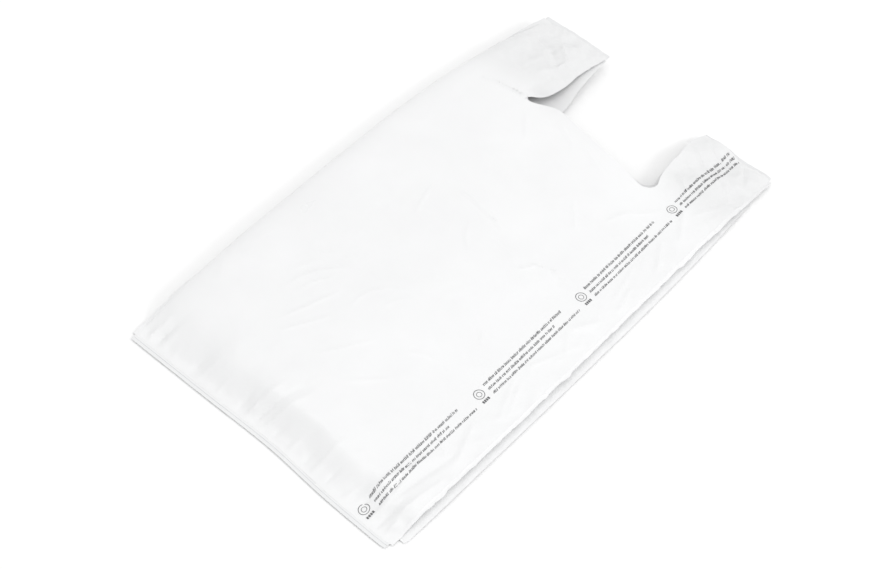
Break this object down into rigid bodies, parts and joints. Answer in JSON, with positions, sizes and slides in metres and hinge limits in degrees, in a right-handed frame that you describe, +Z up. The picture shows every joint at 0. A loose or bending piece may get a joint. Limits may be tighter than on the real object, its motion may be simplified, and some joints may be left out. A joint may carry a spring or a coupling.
{
  "type": "vest carrier bag",
  "caption": "Thin white film carrier bag lying flat, with side gussets, a welded bottom and two loop handles around a cut-out mouth.",
  "frame": {"origin": "on the underside of the back panel, at the middle of the flat bag's outline", "axes": "+Z up from the surface the bag lies on, +Y along the bag from the bottom weld to the handles, +X across it to the printed edge"},
  "size_m": [0.292, 0.5458, 0.0141],
  "materials": {
    "film": "thin translucent white film, soft gloss",
    "weld": "heat-welded film, slightly glassy",
    "ink": "thin dark grey printing ink"
  },
  "bodies": {
    "back": {"back_panel": "film", "bottom_weld": "weld", "bottom_hem": "film", "left_gusset_back_ply": "film", "right_gusset_back_ply": "film"},
    "front": {"front_panel": "film", "left_gusset_front_ply": "film", "right_gusset_front_ply": "film", "panel_print": "ink"},
    "left_back_handle": {"left_handle_back_strap": "film", "left_handle_back_ply": "film", "left_handle_top_weld": "weld"},
    "right_back_handle": {"right_handle_back_strap": "film", "right_handle_back_ply": "film", "right_handle_top_weld": "weld"},
    "left_front_handle": {"left_handle_front_strap": "film", "left_handle_front_ply": "film"},
    "right_front_handle": {"right_handle_front_strap": "film", "right_handle_front_ply": "film", "handle_print": "ink"}
  },
  "joints": [
    {"name": "mouth_opening", "type": "hinge", "parent": "back", "child": "front", "pos_m": [0, -0.2675, 0.0012], "axis": [1, 0, 0], "range_deg": [0, 12]},
    {"name": "left_back_handle_swing", "type": "hinge", "parent": "back", "child": "left_back_handle", "pos_m": [0, 0.177, 0], "axis": [1, 0, 0], "range_deg": [0, 39]},
    {"name": "left_front_handle_swing", "type": "hinge", "parent": "front", "child": "left_front_handle", "pos_m": [0, 0.177, 0.014], "axis": [1, 0, 0], "range_deg": [-37, 0]},
    {"name": "right_back_handle_swing", "type": "hinge", "parent": "back", "child": "right_back_handle", "pos_m": [0, 0.177, 0], "axis": [1, 0, 0], "range_deg": [0, 39]},
    {"name": "right_front_handle_swing", "type": "hinge", "parent": "front", "child": "right_front_handle", "pos_m": [0, 0.177, 0.014], "axis": [1, 0, 0], "range_deg": [-37, 0]}
  ],
  "couplings": [
    {"joint": "left_back_handle_swing", "follows": "mouth_opening", "ratio": 3.166},
    {"joint": "left_front_handle_swing", "follows": "mouth_opening", "ratio": -3.016},
    {"joint": "right_back_handle_swing", "follows": "mouth_opening", "ratio": 3.166},
    {"joint": "right_front_handle_swing", "follows": "mouth_opening", "ratio": -3.016}
  ]
}
